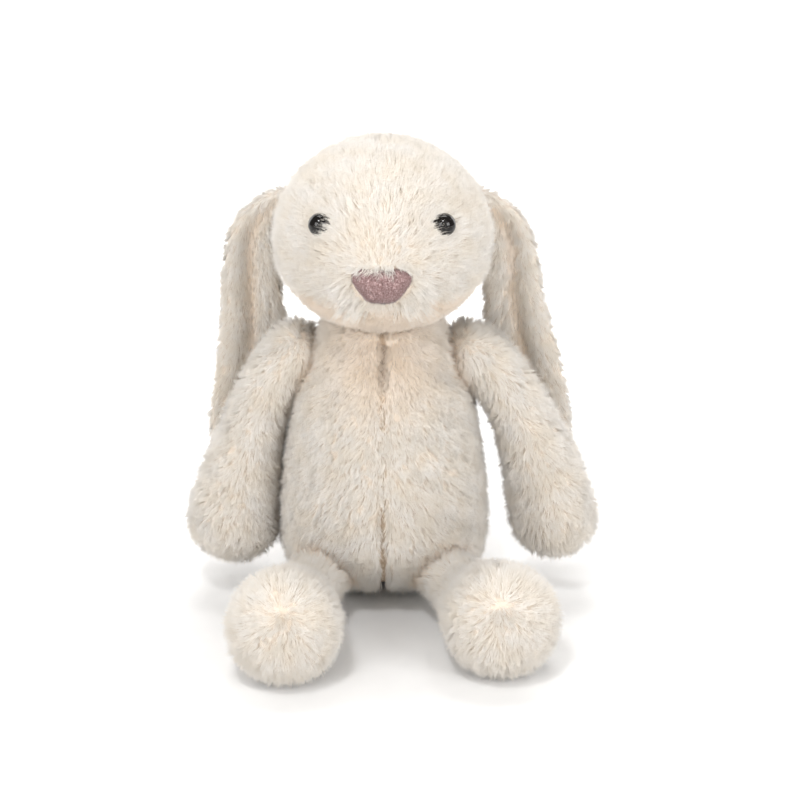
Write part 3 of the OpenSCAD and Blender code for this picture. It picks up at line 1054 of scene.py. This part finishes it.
def torso_comb(points):
    """Down, and parted along the seam."""
    part = 0.3 + 0.9 * np.exp(-(points[:, 0] / (3 * MM)) ** 2) * seam_strength(points[:, 2])
    return np.stack([part * np.sign(points[:, 0]), np.zeros(len(points)), -np.ones(len(points))], 1)


def off_seam(points):
    """Leaves the sewn line bare, most of all under the belly."""
    z = points[:, 2]
    bare = 0.1 + 0.8 * seam_strength(z) + 0.7 * belly_seam(z)
    return np.abs(points[:, 0]) > bare * MM


def under_chin(points):
    """Painted shade on the upper chest under the head: a warmer tint, strongest along its seam."""
    drop = (torso_high[2] - points[:, 2]) / (42 * MM)
    return 0.45 * (1 - ease(drop)) * np.exp(-(points[:, 0] / (24 * MM)) ** 2)


# the tint paints shade: peach in the joins with the arms and legs, and on the chest under the head
fur("torso_fur", Surface(skins["torso"]), "torso", plush, density=5.4, seed=12,
    comb=torso_comb, length=all_over(0.9 * PILE), keep=off_seam,
    warm=most(painted_join_shade("arm_left", "arm_right", "leg_left", "leg_right"), under_chin))


def ear_fold_shade(side):
    """Painted shade down the fold of an ear: a warmer tint in the crease."""
    return lambda points: 0.4 * np.exp(-(beside_fold(side, points) / (2.6 * MM)) ** 2)


def ear_comb(side):
    """Down, and away from the fold of an ear."""
    def comb(points):
        spread = 0.5 * np.tanh(beside_fold(side, points) / (3 * MM))
        return np.stack([spread, np.zeros(len(points)), -np.ones(len(points))], 1)

    return comb


for number, side in enumerate(SIDES):
    shoulder, _, hand, _ = arm_line(side)
    # the tint paints shade where the arm meets the body
    fur(f"arm_{side}_fur", Surface(skins[f"arm_{side}"]), f"arm_{side}", plush, density=5.4, seed=20 + number,
        comb=one_way(unit(hand - shoulder)), length=all_over(PILE), warm=painted_join_shade("torso"))

    _, foot, foot_r = leg_line(side)
    whorl = foot + foot_r * np.array([0, -0.72, 0.69])
    # the tint paints shade where the leg meets the body
    fur(f"leg_{side}_fur", Surface(skins[f"leg_{side}"]), f"leg_{side}", plush, density=5.4, seed=30 + number,
        comb=away_from(whorl), length=all_over(0.95 * PILE), warm=painted_join_shade("torso"))

    # the tint paints shade down the ear's fold
    fur(f"ear_{side}_fur", Surface(skins[f"ear_{side}"]), f"ear_{side}", plush, density=4.8, seed=40 + number,
        comb=ear_comb(side), length=all_over(0.8 * PILE), lean=54, tousle=0.3, warm=ear_fold_shade(side),
        gather=(0.8, 1.4))

fur("tail_fur", Surface(skins["tail"]), "torso", plush, density=4.5, seed=50,
    comb=away_from((tail_low + tail_high) / 2), length=all_over(PILE), lean=15)


# ---- pieces of the frame that stay ----

FINISHES = {
    "stuffing": fibre,
    "pellet_pouch": cloth_material("pouch_weave", (0.55, 0.58, 0.62), (0.75, 0.77, 0.80), 1200.0),
    "washer": cloth_material("washer_plastic", (0.80, 0.80, 0.79), (0.88, 0.88, 0.87), 300.0, 0.4),
}
slots = {row["node"]: row["material_slot"] for row in frame["record"]["subparts"]}
for node, piece in frame["nodes"].items():
    if not piece.hide_render:
        piece.data.materials.clear()
        piece.data.materials.append(FINISHES[slots[node]])


# ---- stage, light and camera ----

def stage():
    """A pale floor that rises into a backdrop behind the toy."""
    reach, back, radius, height = 3.0, 1.4, 0.6, 3.0
    line = [(-reach, 0.0)]
    for a in np.linspace(0, math.pi / 2, 13):
        line.append((back + radius * math.sin(a), radius * (1 - math.cos(a))))
    line.append((back + radius, height))
    points, faces = [], []
    for y, z in line:
        points += [(-reach, y, z), (reach, y, z)]
    for i in range(len(line) - 1):
        faces.append((2 * i, 2 * i + 1, 2 * i + 3, 2 * i + 2))
    floor = new_mesh("stage_floor", points, faces)
    floor.data.materials.append(cloth_material("stage_paper", (0.89, 0.89, 0.89), (0.92, 0.92, 0.92), 40.0))


def area_light(name, place, target, size, power, spread=180):
    light = bpy.data.lights.new(name, "AREA")
    light.shape = "SQUARE"
    light.size = size
    light.energy = power
    light.spread = math.radians(spread)
    holder = bpy.data.objects.new(name, light)
    holder.location = place
    holder.rotation_euler = (Vector(target) - Vector(place)).to_track_quat("-Z", "Y").to_euler()
    bpy.context.scene.collection.objects.link(holder)


def lights():
    middle = (0, 0, 0.11)
    area_light("key", (-0.25, -0.8, 1.35), middle, 0.2, 6)
    area_light("fill", (0.1, -1.75, 0.95), middle, 2.4, 12)
    area_light("fill_left", (-1.1, -1.45, 0.8), middle, 0.9, 14)
    area_light("fill_right", (1.25, -1.4, 0.8), middle, 0.9, 16.5)
    area_light("back_left", (-1.3, 1.35, 0.6), middle, 1.2, 10)
    area_light("back_right", (1.3, 1.35, 0.6), middle, 1.2, 10)
    area_light("backdrop", (0, 1.0, 1.8), (0, 1.05, 0), 1.2, 14, spread=62)
    world = bpy.data.worlds.new("studio")
    world.use_nodes = True
    world.node_tree.nodes["Background"].inputs["Color"].default_value = (1.0, 0.955, 0.90, 1)
    world.node_tree.nodes["Background"].inputs["Strength"].default_value = 0.36
    bpy.context.scene.world = world


def camera():
    """A long lens about a metre away, looking down a little."""
    tilt, distance, half_view = math.radians(21), 1.15, 0.18
    target = Vector((0.0076, 0.0, 0.092))
    camera_data = bpy.data.cameras.new("camera")
    camera_data.angle = 2 * math.atan(half_view / distance)
    holder = bpy.data.objects.new("camera", camera_data)
    holder.location = target + distance * Vector((0, -math.cos(tilt), math.sin(tilt)))
    holder.rotation_euler = (math.pi / 2 - tilt, 0, 0)
    bpy.context.scene.collection.objects.link(holder)
    bpy.context.scene.camera = holder


stage()
lights()
camera()
bpy.context.scene.view_settings.view_transform = "Standard"
